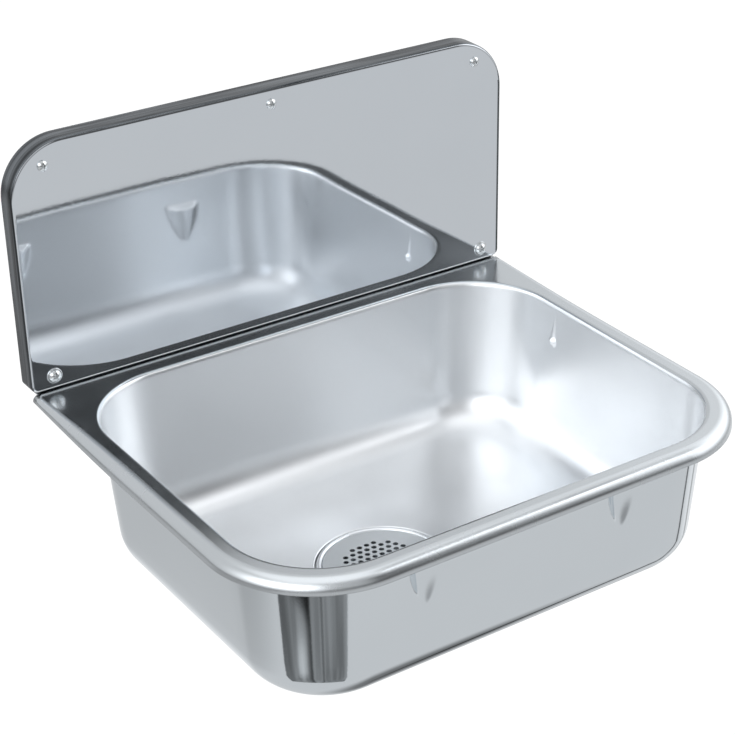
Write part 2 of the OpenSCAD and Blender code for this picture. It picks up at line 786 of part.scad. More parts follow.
module flange_seal() {
    color(black_rubber)
        at_drain()
            ring(drain_hole_r, flange_r - seat_gap, seat_z, flange_seal_t);
}

module waste_gasket() {
    color(black_rubber)
        at_drain()
            ring(gasket_in_r, body_r, gasket_bottom_z, gasket_t);
}

// Moulded body below the bowl: a flange, a cup, and an outlet with a boss held on ribs in its mouth
module waste_body() {
    body_out_r = body_in_r + body_wall;
    outlet_in_r = outlet_r - outlet_wall;
    wall_h = gasket_bottom_z - body_floor_z;
    color(pale_plastic)
        at_drain()
            difference() {
                union() {
                    ring(body_in_r, body_r, gasket_bottom_z - body_flange_t, body_flange_t);
                    ring(body_in_r, body_out_r, body_floor_z, wall_h);
                    ring(outlet_in_r, body_out_r, body_floor_z - body_wall, body_wall);
                    ring(outlet_in_r, outlet_r, outlet_end_z, outlet_l + body_wall);
                    translate([0, 0, boss_top_z - boss_h])
                        cylinder(h = boss_h, r = boss_r, $fn = round_fn);
                    intersection() {
                        for (turn = [0, 90])
                            rotate([0, 0, turn])
                                translate([-outlet_r, -rib_t / 2, boss_top_z - boss_h])
                                    cube([2 * outlet_r, rib_t, boss_h - body_gap]);
                        translate([0, 0, outlet_end_z])
                            cylinder(h = boss_top_z - outlet_end_z, r = outlet_r - outlet_wall / 2,
                                $fn = round_fn);
                    }
                }
                translate([0, 0, boss_top_z - insert_l])
                    cylinder(h = insert_l + past, r = insert_r, $fn = round_fn);
                translate([0, 0, boss_top_z - boss_h - past])
                    cylinder(h = boss_h + past, d = clamp_d + 2 * screw_gap, $fn = round_fn);
            }
}

module insert_nut() {
    color(brass)
        at_drain()
            ring(clamp_d / 2, insert_r, boss_top_z - insert_l, insert_l);
}

module clamping_screw() {
    head_d = 2 * clamp_d;
    h = head_d * head_h;
    color(steel)
        at_drain()
            translate([0, 0, cup_floor_z]) {
                difference() {
                    cylinder(h = h, d = head_d, $fn = round_fn);
                    for (turn = [0, 90])
                        rotate([0, 0, turn])
                            translate([-head_d * cross_l / 2, -head_d * cross_w / 2, h * (1 - recess_h)])
                                cube([head_d * cross_l, head_d * cross_w, h]);
                }
                translate([0, 0, -clamp_l])
                    cylinder(h = clamp_l, d = clamp_d, $fn = round_fn);
            }
}

basin();
splashback();
splashback_core();
foot_seal();
wall_screws();
wall_screw_washers();
splashback_screws();
left_wall_bracket();
right_wall_bracket();
bracket_screws();
heel_pads();
strainer();
waste_flange();
flange_seal();
waste_gasket();
waste_body();
insert_nut();
clamping_screw();
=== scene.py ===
import math
import bpy
import bmesh
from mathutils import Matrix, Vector


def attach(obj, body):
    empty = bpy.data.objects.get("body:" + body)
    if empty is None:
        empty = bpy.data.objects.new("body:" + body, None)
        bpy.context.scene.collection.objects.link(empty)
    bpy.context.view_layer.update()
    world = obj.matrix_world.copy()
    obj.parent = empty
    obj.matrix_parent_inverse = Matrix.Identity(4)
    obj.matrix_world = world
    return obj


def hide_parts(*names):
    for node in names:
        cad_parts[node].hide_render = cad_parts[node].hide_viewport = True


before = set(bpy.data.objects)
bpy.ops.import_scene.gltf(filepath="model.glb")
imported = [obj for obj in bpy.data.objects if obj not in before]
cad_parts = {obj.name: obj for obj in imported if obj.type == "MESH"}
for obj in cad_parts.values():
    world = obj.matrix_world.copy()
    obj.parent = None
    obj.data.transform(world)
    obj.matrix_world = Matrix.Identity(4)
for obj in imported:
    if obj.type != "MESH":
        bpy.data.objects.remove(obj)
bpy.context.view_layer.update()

# Camera: a long lens to the sink's left and above it, as the photograph was taken.
# Its axis is turned 35.4 degrees to the side and 29.8 degrees down, and the frame is shifted to suit.
camera = bpy.data.objects.new("camera", bpy.data.cameras.new("camera"))
bpy.context.collection.objects.link(camera)
camera.location = (-0.7651, -1.3298, 0.7558)
camera.rotation_euler = (math.radians(90 - 29.79), 0, math.radians(-35.36))
camera.data.sensor_width = 36
camera.data.lens = 99.55
camera.data.shift_x = -0.1042
camera.data.shift_y = 0.0936
bpy.context.scene.camera = camera
bpy.context.scene.view_settings.view_transform = "Standard"

# Studio: a pale floor, walls that are darker in front and at the front's foot, and a bright ceiling. A soft box
# hangs on each side, with a strip and a dimmer gap over the right one; a dark opening stands in front on the right.
# The eye sees plain white; only steel sees the room, and on the floor steel sees a painted shadow of the sink and
# two painted dark lines.
FLOOR_Z, FLOOR_HALF = -0.9, 9
SHADE_AT = (0.25, -0.3, FLOOR_Z)
FRONT_WALL, SIDE_EXTRA, CEILING = 0.57, 0.18, 1.32


def shader(name):
    made = bpy.data.materials.new(name)
    made.use_nodes = True
    made.node_tree.nodes.clear()
    return made, made.node_tree


def node(tree, kind, inputs=(), **settings):
    made = tree.nodes.new(kind)
    for key, value in settings.items():
        setattr(made, key, value)
    for key, value in dict(inputs).items():
        if isinstance(value, bpy.types.NodeSocket):
            tree.links.new(value, made.inputs[key])
        else:
            made.inputs[key].default_value = value
    return made


def step(tree, value, low, high, dark=0.0, light=1.0):
    """A soft step from one level to another as a value runs from low to high."""
    return node(tree, "ShaderNodeMapRange", {0: value, 1: low, 2: high, 3: dark, 4: light},
                interpolation_type="SMOOTHSTEP").outputs[0]


def both(tree, a, b, way="MULTIPLY"):
    """Two values joined to one: multiplied, unless another way is named."""
    return node(tree, "ShaderNodeMath", {0: a, 1: b}, operation=way).outputs[0]


def darkened(tree, value, shadow, share=1.0):
    """A value less the share of it that a shadow takes."""
    taken = shadow if share == 1.0 else both(tree, shadow, share)
    return both(tree, value, both(tree, 1.0, taken, "SUBTRACT"))


def between(tree, value, up, down):
    """1 between two soft steps, each given as where it starts and ends, and 0 outside them."""
    return both(tree, step(tree, value, *up), step(tree, value, *down, 1.0, 0.0))


def stripe(tree, value, middle, core, edge, level):
    """A level that holds near a middle value, up to core from it, and fades to 0 at the edge."""
    off = both(tree, both(tree, value, middle, "SUBTRACT"), 0.0, "ABSOLUTE")
    return step(tree, off, core, edge, level, 0.0)


def blended(tree, share, a, b):
    """One colour or another by a share from 0 to 1; the mix node's colour sockets are its sixth and seventh."""
    made = node(tree, "ShaderNodeMix", {0: share}, data_type="RGBA")
    for place, colour in ((6, a), (7, b)):
        if isinstance(colour, bpy.types.NodeSocket):
            tree.links.new(colour, made.inputs[place])
        else:
            made.inputs[place].default_value = (*colour, 1)
    return made.outputs[2]


def seen_by(tree):
    """Whether the eye looks straight at it, and whether something that mirrors or is clear does."""
    path = node(tree, "ShaderNodeLightPath")
    glossy = both(tree, path.outputs["Is Glossy Ray"], path.outputs["Is Transmission Ray"], "MAXIMUM")
    return path.outputs["Is Camera Ray"], glossy


floor_paint, tree = shader("pale_floor")
by_eye, by_gloss = seen_by(tree)
place = node(tree, "ShaderNodeTexCoord").outputs["Object"]
away = node(tree, "ShaderNodeVectorMath", {0: place, 1: SHADE_AT}, operation="DISTANCE").outputs["Value"]
across = node(tree, "ShaderNodeSeparateXYZ", {0: place}).outputs
# Painted shadow: the glow that steel sees is darker round SHADE_AT, as the sink's own shadow on the floor, and dims
# far off.
glow_with_painted_shadow = both(tree, step(tree, away, 0.12, 0.45, 0.20, 0.66), step(tree, away, 3.2, 5.5, 1.0, 0.5))
back_left = both(tree, across["Y"], across["X"], "SUBTRACT")
back_right = both(tree, across["Y"], both(tree, across["X"], 0.5), "ADD")
lit_back = both(tree, step(tree, back_left, 0.6, 1.6, 1.0, 0.65), step(tree, back_right, 0.1, 0.6, 1.0, 1.3))
# Two dark lines are painted across the floor on the right, in the glow that only steel sees. The bowl's front wall
# mirrors them, at its right end and its foot.
slanted = both(tree, across["Y"], both(tree, across["X"], 0.15), "ADD")
lines = both(tree, stripe(tree, slanted, -0.24, 0.02, 0.06, 0.85), stripe(tree, slanted, 0.22, 0.03, 0.08, 0.5),
             "MAXIMUM")
lines = both(tree, lines, step(tree, across["X"], 0.15, 0.35))
lit = darkened(tree, both(tree, glow_with_painted_shadow, lit_back), lines)
plain = node(tree, "ShaderNodeBsdfDiffuse", {"Color": (0.80, 0.81, 0.82, 1)})
shown = node(tree, "ShaderNodeEmission", {"Color": (1, 1, 1, 1), "Strength": 0.9})
shaded = node(tree, "ShaderNodeBsdfDiffuse", {"Color": (0.16, 0.16, 0.16, 1)})
for_eye = node(tree, "ShaderNodeAddShader", {0: shown.outputs[0], 1: shaded.outputs[0]})
for_gloss = node(tree, "ShaderNodeEmission", {"Color": (0.97, 0.985, 1.0, 1), "Strength": lit})
near = node(tree, "ShaderNodeMixShader", {0: by_gloss, 1: plain.outputs[0], 2: for_gloss.outputs[0]})
all_of = node(tree, "ShaderNodeMixShader", {0: by_eye, 1: near.outputs[0], 2: for_eye.outputs[0]})
node(tree, "ShaderNodeOutputMaterial", {0: all_of.outputs[0]})
floor_mesh = bpy.data.meshes.new("floor")
floor_mesh.from_pydata([(x * FLOOR_HALF, y * FLOOR_HALF, FLOOR_Z) for x, y in ((-1, -1), (1, -1), (1, 1), (-1, 1))],
                       [], [(0, 1, 2, 3)])
floor_mesh.materials.append(floor_paint)
floor = bpy.data.objects.new("floor", floor_mesh)
bpy.context.collection.objects.link(floor)

studio = bpy.data.worlds.new("studio")
studio.use_nodes = True
tree = studio.node_tree
tree.nodes.clear()
by_eye, by_gloss = seen_by(tree)
towards = node(tree, "ShaderNodeSeparateXYZ", {0: node(tree, "ShaderNodeTexCoord").outputs["Generated"]})
to_front = both(tree, towards.outputs["Y"], -1.0)
turn = both(tree, towards.outputs["X"], to_front, "ARCTAN2")
rise = node(tree, "ShaderNodeMath", {0: towards.outputs["Z"]}, operation="ARCSINE").outputs[0]
overhead = step(tree, rise, 0.90, 1.20)
aside = step(tree, both(tree, turn, 0.0, "ABSOLUTE"), 0.60, 0.90)
front_foot = step(tree, rise, 0.0, 0.22, 0.30, 1.0)
wall = both(tree, both(tree, FRONT_WALL, both(tree, aside, SIDE_EXTRA), "ADD"),
            both(tree, aside, front_foot, "MAXIMUM"))
lit = both(tree, darkened(tree, wall, overhead), both(tree, CEILING, overhead), "ADD")


def panel(turn_up, turn_down, rise_up, rise_down):
    """A soft-edged panel in the room, by where each edge starts and ends: left, right, foot and top, in radians."""
    return both(tree, between(tree, turn, turn_up, turn_down), between(tree, rise, rise_up, rise_down))


left_box = panel((-2.20, -1.10), (-0.80, -0.40), (-0.05, 0.35), (0.70, 1.00))
right_box = panel((0.66, 0.80), (1.80, 2.60), (-0.05, 0.30), (0.70, 0.92))
strip = panel((0.72, 0.82), (1.10, 1.25), (0.82, 0.85), (0.90, 0.93))
gap = panel((0.95, 1.15), (1.50, 1.80), (0.84, 0.95), (1.05, 1.25))
opening = both(tree, between(tree, turn, (0.14, 0.36), (0.61, 0.71)),
               both(tree, step(tree, rise, 0.36, 0.50, 0.80, 1.0), step(tree, rise, 0.58, 0.80, 1.0, 0.0)))
for lamp, power in ((left_box, 2.0), (right_box, 1.0), (strip, 3.0)):
    lit = both(tree, lit, both(tree, lamp, power), "ADD")
for shadow, share in ((opening, 0.95), (gap, 0.5)):
    lit = darkened(tree, lit, shadow, share)
room = node(tree, "ShaderNodeBackground", {"Color": (0.965, 0.98, 1.0, 1), "Strength": lit})
white = node(tree, "ShaderNodeBackground", {"Color": (1, 1, 1, 1), "Strength": 1.0})
seen = node(tree, "ShaderNodeMixShader", {0: by_eye, 1: room.outputs[0], 2: white.outputs[0]})
node(tree, "ShaderNodeOutputWorld", {0: seen.outputs[0]})
bpy.context.scene.world = studio

# Cards: dark and grey panels curve round the sink's left front corner, as in a studio that holds light off
# polished steel. Their tones run by the bearing from that corner, with one light patch, and those to the left
# end on a slant. Only reflections show them.
CORNER = (-0.18, -0.34)
CARD_AWAY, CARD_TOP, CARD_STEPS = 0.5, -0.42, 16
CARD_FROM, CARD_SWEEP = -1.57, 1.59
TONE_FROM, TONE_SCALE = -1.6, 0.6
PATCH_Z, PATCH_AT = -0.60, -1.10
card_paint, tree = shader("card_paint")
place = node(tree, "ShaderNodeTexCoord").outputs["Object"]
spread = node(tree, "ShaderNodeSeparateXYZ", {0: node(tree, "ShaderNodeVectorMath", {0: place, 1: (*CORNER, 0)},
                                                      operation="SUBTRACT").outputs[0]})
bearing = both(tree, spread.outputs["X"], both(tree, spread.outputs["Y"], -1.0), "ARCTAN2")
streaks = node(tree, "ShaderNodeTexNoise", {"Vector": node(tree, "ShaderNodeVectorMath", {0: place, 1: (9, 9, 1.5)},
                                                           operation="MULTIPLY").outputs[0], "Scale": 2.0})
tone = node(tree, "ShaderNodeValToRGB", {0: both(tree, both(tree, bearing, TONE_FROM, "SUBTRACT"), TONE_SCALE)})
stops = tone.color_ramp.elements
for at, grey in ((-1.58, 0.12), (-1.36, 0.20), (-1.12, 0.30), (-0.98, 0.20), (-0.86, 0.07), (-0.82, 0.26),
                 (-0.61, 0.22), (-0.60, 0.12), (-0.56, 0.12), (-0.54, 0.25), (-0.10, 0.20), (0.02, 0.28)):
    stop = stops.new((at - TONE_FROM) * TONE_SCALE)
    stop.color = (grey, grey, grey, 1)
stops.remove(stops[0])
uneven = node(tree, "ShaderNodeMapRange", {0: streaks.outputs[0], 1: 0.35, 2: 0.65, 3: 0.75, 4: 1.25})
level = both(tree, node(tree, "ShaderNodeSeparateXYZ", {0: place}).outputs["Z"], PATCH_Z, "SUBTRACT")
patch = both(tree, stripe(tree, level, 0.0, 0.02, 0.07, 1.0), stripe(tree, bearing, PATCH_AT, 0.05, 0.20, 0.25))
slant = both(tree, level, both(tree, both(tree, bearing, 0.15), 0.135, "ADD"), "ADD")
cut_off = both(tree, step(tree, slant, 0.055, 0.09), step(tree, bearing, -0.90, -0.84, 0.88, 0.0))
card_level = darkened(tree, both(tree, both(tree, tone.outputs[0], uneven.outputs[0]), patch, "ADD"), cut_off)
card_lit = node(tree, "ShaderNodeEmission", {"Color": (0.95, 0.98, 1.0, 1), "Strength": card_level})
node(tree, "ShaderNodeOutputMaterial", {0: card_lit.outputs[0]})
bearings = [CARD_FROM + CARD_SWEEP * i / CARD_STEPS for i in range(CARD_STEPS + 1)]
line = [(CORNER[0] + CARD_AWAY * math.sin(t), CORNER[1] - CARD_AWAY * math.cos(t)) for t in bearings]
card_mesh = bpy.data.meshes.new("cards")
above = len(line)
card_mesh.from_pydata([(x, y, z) for z in (FLOOR_Z, CARD_TOP) for x, y in line], [],
                      [(i, i + 1, above + i + 1, above + i) for i in range(CARD_STEPS)])
card_mesh.materials.append(card_paint)
cards = bpy.data.objects.new("cards", card_mesh)
bpy.context.collection.objects.link(cards)
cards.visible_camera = False
cards.visible_diffuse = False
cards.visible_shadow = False

# Basin: one pressed stainless sheet, 1.2 mm thick: a bowl with a dished floor, a flat deck and a rolled edge.
# Two ledges are pressed into its front wall and a narrow pip into each side wall; the deck turns up at the wall.
# The bowl's inside is satin, the deck is finer and the outside is polished; the deck and roll take a darker steel
# colour than the bowl, as painted shade. Sizes from here on are millimetres.
DECK_HALF, DECK_DEPTH, DECK_CORNER = 225.0, 379.0, 90.0
BOWL_HALF, BOWL_BACK, BOWL_LENGTH, BOWL_CORNER = 204.0, 37.0, 322.0, 72.0
BOWL_DEPTH, FALL, BOTTOM_R, DRAFT, EDGE_R, SHEET = 128.8, 8.0, 32.0, math.radians(4.5), 4.0, 1.2
DRAIN, DRAIN_HOLE_R, RECESS_R, RECESS_LIP = Vector((-20.0, -196.0)), 45, 56.0, 0.05
ROLL_BACK, ROLL_FRONT, ROLL_GROWS = 4.5, 10.0, 150.0
LEDGE_X, LEDGE_TOP, LEDGE_HIGH, LEDGE_FOOT_R, LEDGE_TOP_R, LEDGE_ROUND = 89.0, -26.0, 36.0, 8.0, 17.0, 1.35
# A pip widens a little from its top to its end, which is round: PIP_END_R2 is that end's radius, squared.
PIP_Y, PIP_TOP, PIP_END, PIP_STEM, PIP_TIP, PIP_END_R2 = -127.0, -10.0, -33.0, 2.6, 0.9, 17.6
SPLASH_FACE, UPSTAND_Y, UPSTAND_R, UPSTAND_TOP = -17.5, -1.2, 2.0, 30.0
INSIDE, DECK, ROLL = 0, 2, 4
CORNER_STEPS, SIDE_STEPS, FLOOR_STEPS, BEND_STEPS, EDGE_STEPS, ROLL_STEPS, LIP_STEPS = 24, 14, 12, 14, 6, 11, 2
LIP_STEP = 0.4
bowl_mid = -BOWL_BACK - BOWL_LENGTH / 2
front_run, side_run = 2 * (BOWL_HALF - BOWL_CORNER), BOWL_LENGTH - 2 * BOWL_CORNER
side_start = bowl_mid + side_run / 2


def lerp(a, b, t):
    """The place between a and b at t from 0 to 1."""
    return a + (b - a) * t


def ease(t):
    """A soft step from 0 to 1."""
    t = min(1.0, max(0.0, t))
    return t * t * (3 - 2 * t)


def around(angle):
    return Vector((math.cos(angle), math.sin(angle)))


def corner_sign(k):
    """Which way corner k lies in x and y: back right, back left, front left, front right."""
    return (1 if k in (0, 3) else -1), (1 if k < 2 else -1)


def bowl_xy(k, on_side, t, inset):
    """A place on the bowl's outline: at t in corner k, or on the straight side after it, moved inwards."""
    def corner(c, angle):
        sx, sy = corner_sign(c % 4)
        centre = Vector((sx * (BOWL_HALF - BOWL_CORNER), bowl_mid + sy * (BOWL_LENGTH / 2 - BOWL_CORNER)))
        return centre + around(angle) * (BOWL_CORNER - inset)
    if on_side:
        turn = math.pi / 2 * (k + 1)
        return lerp(corner(k, turn), corner(k + 1, turn), t)
    return corner(k, math.pi / 2 * (k + t))


def roll_radius(y):
    """The roll is full in front and narrows towards the splashback."""
    s = min(1.0, max(0.0, (SPLASH_FACE - y) / ROLL_GROWS))
    return ROLL_BACK + (ROLL_FRONT - ROLL_BACK) * math.sin(math.pi / 2 * s)


def deck_xy(k, on_side, t):
    """The place on the deck's flat edge that goes with a place on the bowl's outline."""
    if on_side:
        a, b = deck_xy(k, False, 1.0), deck_xy((k + 1) % 4, False, 0.0)
        p = lerp(a, b, t)
        if k in (1, 3):
            p.x = corner_sign(k)[0] * (DECK_HALF - roll_radius(p.y))
        return p
    sx = corner_sign(k)[0]
    if k < 2:
        w = 2 * t if k == 0 else 2 - 2 * t
        if w <= 1:
            y = lerp(side_start, SPLASH_FACE, w)
            return Vector((sx * (DECK_HALF - roll_radius(y)), y))
        return Vector((sx * lerp(DECK_HALF - ROLL_BACK, BOWL_HALF - BOWL_CORNER, w - 1), SPLASH_FACE))
    angle = math.pi / 2 * (k + t)
    centre = Vector((sx * (DECK_HALF - DECK_CORNER), -DECK_DEPTH + DECK_CORNER))
    y = centre.y + DECK_CORNER * math.sin(angle)
    return centre + around(angle) * (DECK_CORNER - roll_radius(y))


def roll_way(k, on_side, t):
    """The way outwards at a place on the deck's edge."""
    if k < 2 and not on_side:
        return Vector((corner_sign(k)[0], 0))
    return around(math.pi / 2 * (k + 1)) if on_side else around(math.pi / 2 * (k + t))


def wall_inset(z):
    """How far the sloping wall stands inside the bowl's outline at a height."""
    top = -EDGE_R * (1 - math.sin(DRAFT))
    return (top - z) * math.tan(DRAFT) - EDGE_R * (1 - math.cos(DRAFT))


def pressed(value, soft=1.0, base=-LEDGE_FOOT_R):
    """A value that bends softly up from 0, as sheet does over a punch."""
    def bent(v):
        return 0.5 * (v + math.sqrt(v * v + soft * soft))
    return bent(value) - bent(base)


def press_in(x, y, z):
    """Which way the wall is pressed at this place, and how far: a tapered ledge, or a thin pip with a round end."""
    if y < bowl_mid - 120:
        down = min(1.0, max(0.0, (LEDGE_TOP - z) / LEDGE_HIGH))
        r = LEDGE_FOOT_R + (LEDGE_TOP_R - LEDGE_FOOT_R) * (1 - down ** LEDGE_ROUND)
        across = abs(abs(x) - LEDGE_X)
        if -64 < z < -20 and across < 20:
            out = math.sqrt(max(0.0, r * r - across * across)) - LEDGE_FOOT_R
            top_edge = ease((-z - 23.6) / 4.0)
            return Vector((0, 1)), max(0.0, pressed(out, lerp(5.0, 0.8, down))) * top_edge
    if abs(x) > 150 and abs(y - PIP_Y) < 8 and -42 < z < -6:
        above = z - PIP_END
        stem = lerp(PIP_STEM, PIP_TIP, above / (PIP_TOP - PIP_END)) if above > 0 else 0.0
        r = max(stem, math.sqrt(max(0.0, PIP_END_R2 - above ** 2)))
        out = math.sqrt(max(0.0, r * r - (y - PIP_Y) ** 2)) - PIP_TIP
        return Vector((-1 if x > 0 else 1, 0)), max(0.0, pressed(out, 1.0, -PIP_TIP))
    return Vector((0, 0)), 0.0


def spaced(count, *dense):
    """Places from 0 to 1: evenly spaced ones, and closer ones over each (from, to, steps)."""
    places = {i / count for i in range(count)}
    for start, stop, steps in dense:
        places = {p for p in places if not start < p < stop}
        places |= {lerp(start, stop, i / steps) for i in range(steps + 1)}
    return sorted(p for p in places if 0 <= p < 1)


def over(run, middle, half, steps):
    """A closer spacing on a straight side, half a width to each side of a middle measured from its start."""
    return (middle - half) / run, (middle + half) / run, steps


pip_from_back = side_start - PIP_Y
side_places = [spaced(SIDE_STEPS), spaced(SIDE_STEPS, over(side_run, pip_from_back, 10, 22)),
               spaced(SIDE_STEPS, *[over(front_run, front_run / 2 + x, 21, 28) for x in (-LEDGE_X, LEDGE_X)]),
               spaced(SIDE_STEPS, over(side_run, side_run - pip_from_back, 10, 22))]
columns = []
for k in range(4):
    columns += [(k, False, i / CORNER_STEPS) for i in range(CORNER_STEPS)]
    columns += [(k, True, t) for t in side_places[k]]

foot_z = -BOWL_DEPTH + BOTTOM_R
foot_in = wall_inset(foot_z - BOTTOM_R * math.sin(DRAFT)) + BOTTOM_R * math.cos(DRAFT)
drain_z = -BOWL_DEPTH - FALL


def drain_xy(column, r):
    """A place at a distance from the drain's middle, towards the bowl's foot at a column."""
    way = bowl_xy(*column, foot_in) - DRAIN
    return DRAIN + way.normalized() * r


# The skin is built in rings from the drain's hole outwards: the recess, the floor, the bend, the wall, the edge
# and the deck. The wall's rings lie closer over the ledges and pips.
recess = [(DRAIN_HOLE_R, -3), (46, -3), (52.5, -3), (53.7, -3), (54.1, -2.9), (54.4, -2.6), (54.5, -2.2),
          (54.5, -1.2), (54.55, -0.8), (54.7, -0.4), (55.0, -0.15), (55.3, 0), (RECESS_R, RECESS_LIP)]
skin = [[(*drain_xy(c, r), drain_z + z) for c in columns] for r, z in recess]
for ring in range(1, FLOOR_STEPS):
    w = ring / FLOOR_STEPS
    z = lerp(drain_z + RECESS_LIP, -BOWL_DEPTH, w)
    skin.append([(*lerp(drain_xy(c, RECESS_R), bowl_xy(*c, foot_in), w), z) for c in columns])
for ring in range(BEND_STEPS + 1):
    a = lerp(math.pi / 2, DRAFT, ring / BEND_STEPS)
    inset = foot_in - BOTTOM_R * math.cos(a)
    skin.append([(*bowl_xy(*c, inset), foot_z - BOTTOM_R * math.sin(a)) for c in columns])
heights = [-88, -84, -80, -76, -72, -69, -66] + [-64 + 1.5 * i for i in range(25)]
heights += [-27.4, -26.8, -26.3, -25.8, -25.3, -24.8, -24.3, -23.6, -22.5] + [-21 + 1.5 * i for i in range(11)]
for z in heights:
    row = []
    for c in columns:
        p = bowl_xy(*c, wall_inset(z))
        way, depth = press_in(p.x, p.y, z)
        p = p + way * depth
        row.append((p.x, p.y, z))
    skin.append(row)
for ring in range(EDGE_STEPS + 1):
    a = (math.pi / 2 - DRAFT) * (1 - ring / EDGE_STEPS)
    skin.append([(*bowl_xy(*c, -EDGE_R * (1 - math.sin(a))), -EDGE_R * (1 - math.cos(a))) for c in columns])
deck_from = len(skin) - 1
for w in (0.06, 0.5, 0.94, 1.0):
    skin.append([(*lerp(bowl_xy(*c, -EDGE_R), deck_xy(*c), w), 0.0) for c in columns])

count = len(columns)
points = [p for row in skin for p in row]
faces, kinds = [], []
for n in range(len(skin) - 1):
    for i in range(count):
        j = (i + 1) % count
        faces.append((n * count + i, (n + 1) * count + i, (n + 1) * count + j, n * count + j))
        kinds.append(DECK if n >= deck_from - EDGE_STEPS / 2 else INSIDE)
edge = [(len(skin) - 1) * count + i for i in range(count)]
back_left = columns.index((1, False, 0.5))
back_right = columns.index((0, False, 0.5))


def grow(line, rows, kind):
    """Adds rows of points outwards from a line of point numbers."""
    for row in rows:
        start = len(points)
        points.extend(row)
        new = list(range(start, start + len(row)))
        for i in range(len(row) - 1):
            faces.append((line[i], new[i], new[i + 1], line[i + 1]))
            kinds.append(kind)
        line = new


rim = [columns[(back_left + i) % count] for i in range(count - back_left + back_right + 1)]
rim_rows = []
for ring in range(1, ROLL_STEPS + LIP_STEPS + 1):
    row = []
    for c in rim:
        p, way = deck_xy(*c), roll_way(*c)
        r = roll_radius(p.y)
        a = math.pi / 2 * min(1.0, ring / ROLL_STEPS)
        q = p + way * r * math.sin(a)
        row.append((q.x, q.y, -r * (1 - math.cos(a)) - LIP_STEP * max(0, ring - ROLL_STEPS)))
    rim_rows.append(row)
grow([edge[(back_left + i) % count] for i in range(len(rim))], rim_rows, ROLL)
back = [deck_xy(*columns[i]) for i in range(back_right, back_left + 1)]
turn_up = [(-10.0, 0.0), (-3.6, 0.0)]
for a in [math.pi / 2 * i / 6 for i in range(7)]:
    turn_up.append((UPSTAND_Y - UPSTAND_R * (1 - math.sin(a)), UPSTAND_R * (1 - math.cos(a))))
turn_up += [(UPSTAND_Y, z) for z in (2.6, UPSTAND_TOP - 0.6, UPSTAND_TOP)]
grow(edge[back_right:back_left + 1], [[(p.x, y, z) for p in back] for y, z in turn_up], DECK)


def steel(name, colour, rough, grain=(1, 1, 1), grain_size=900, grain_depth=0.02, wave=0.0, turned=None,
          lean=0.0, brushed=0.0):
    """Stainless steel: a polish that varies a little, fine marks along the grain and a slight waviness."""
    made, tree = shader(name)
    here = node(tree, "ShaderNodeTexCoord").outputs["Object"]
    cloudy = node(tree, "ShaderNodeTexNoise", {"Vector": here, "Scale": 14.0, "Detail": 4.0}).outputs[0]
    tone = node(tree, "ShaderNodeMapRange", {0: cloudy, 1: 0.3, 2: 0.7, 3: rough * 0.86, 4: rough * 1.14})
    tint = blended(tree, cloudy, [v * 0.96 for v in colour], colour)
    if turned:
        moved = node(tree, "ShaderNodeVectorMath", {0: here, 1: turned}, operation="SUBTRACT").outputs[0]
        flat = node(tree, "ShaderNodeVectorMath", {0: moved, 1: (1, 1, 0)}, operation="MULTIPLY").outputs[0]
        away = node(tree, "ShaderNodeVectorMath", {0: flat}, operation="LENGTH").outputs["Value"]
        along = node(tree, "ShaderNodeCombineXYZ", {0: away}).outputs[0]
    else:
        along = node(tree, "ShaderNodeVectorMath", {0: here, 1: grain}, operation="MULTIPLY").outputs[0]
    marks = node(tree, "ShaderNodeTexNoise", {"Vector": along, "Scale": grain_size, "Detail": 3.0,
                                              "Roughness": 0.6})
    normal = node(tree, "ShaderNodeBump", {"Strength": grain_depth, "Distance": 0.0005,
                                           "Height": marks.outputs[0]}).outputs[0]
    if wave:
        slow = node(tree, "ShaderNodeTexNoise", {"Vector": here, "Scale": 7.0, "Detail": 1.0})
        normal = node(tree, "ShaderNodeBump", {"Strength": 1.0, "Distance": wave, "Height": slow.outputs[0],
                                               "Normal": normal}).outputs[0]
    if lean:
        level = node(tree, "ShaderNodeSeparateXYZ", {0: here}).outputs["Z"]
        normal = node(tree, "ShaderNodeBump", {"Strength": 1.0, "Distance": lean, "Height": both(tree, level, -1.0),
                                               "Normal": normal}).outputs[0]
    body = node(tree, "ShaderNodeBsdfPrincipled", {"Base Color": tint, "Roughness": tone.outputs[0],
                                                   "Metallic": 1.0, "Normal": normal})
    if brushed:
        body.inputs["Anisotropic"].default_value = brushed
        body.inputs["Anisotropic Rotation"].default_value = 0.25
        level_way = node(tree, "ShaderNodeTangent", direction_type="RADIAL", axis="Z")
        tree.links.new(level_way.outputs[0], body.inputs["Tangent"])
    node(tree, "ShaderNodeOutputMaterial", {0: body.outputs[0]})
    return made


def piece(name, points, faces, materials, kinds=None, body="sink", smooth=True, closed=False):
    """A piece from points in millimetres that rides on a body; a closed one is welded and faces outwards."""
    mesh = bpy.data.meshes.new(name)
    mesh.from_pydata([tuple(v / 1000 for v in p) for p in points], [], faces)
    for material in materials:
        mesh.materials.append(material)
    for i, face in enumerate(mesh.polygons):
        face.use_smooth = smooth
        face.material_index = kinds[i] if kinds else 0
    if closed:
        form = bmesh.new()
        form.from_mesh(mesh)
        bmesh.ops.remove_doubles(form, verts=form.verts, dist=1e-6)
        bmesh.ops.recalc_face_normals(form, faces=form.faces)
        form.to_mesh(mesh)
        form.free()
    mesh.update()
    made = bpy.data.objects.new(name, mesh)
    bpy.context.collection.objects.link(made)
    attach(made, body)
    return made


satin = steel("bowl_satin", (0.864, 0.88, 0.894), 0.34, grain_size=1500, grain_depth=0.05, brushed=0.5)
polished = steel("outside_polish", (0.80, 0.84, 0.87), 0.07, grain_size=600, grain_depth=0.015, wave=0.0004)
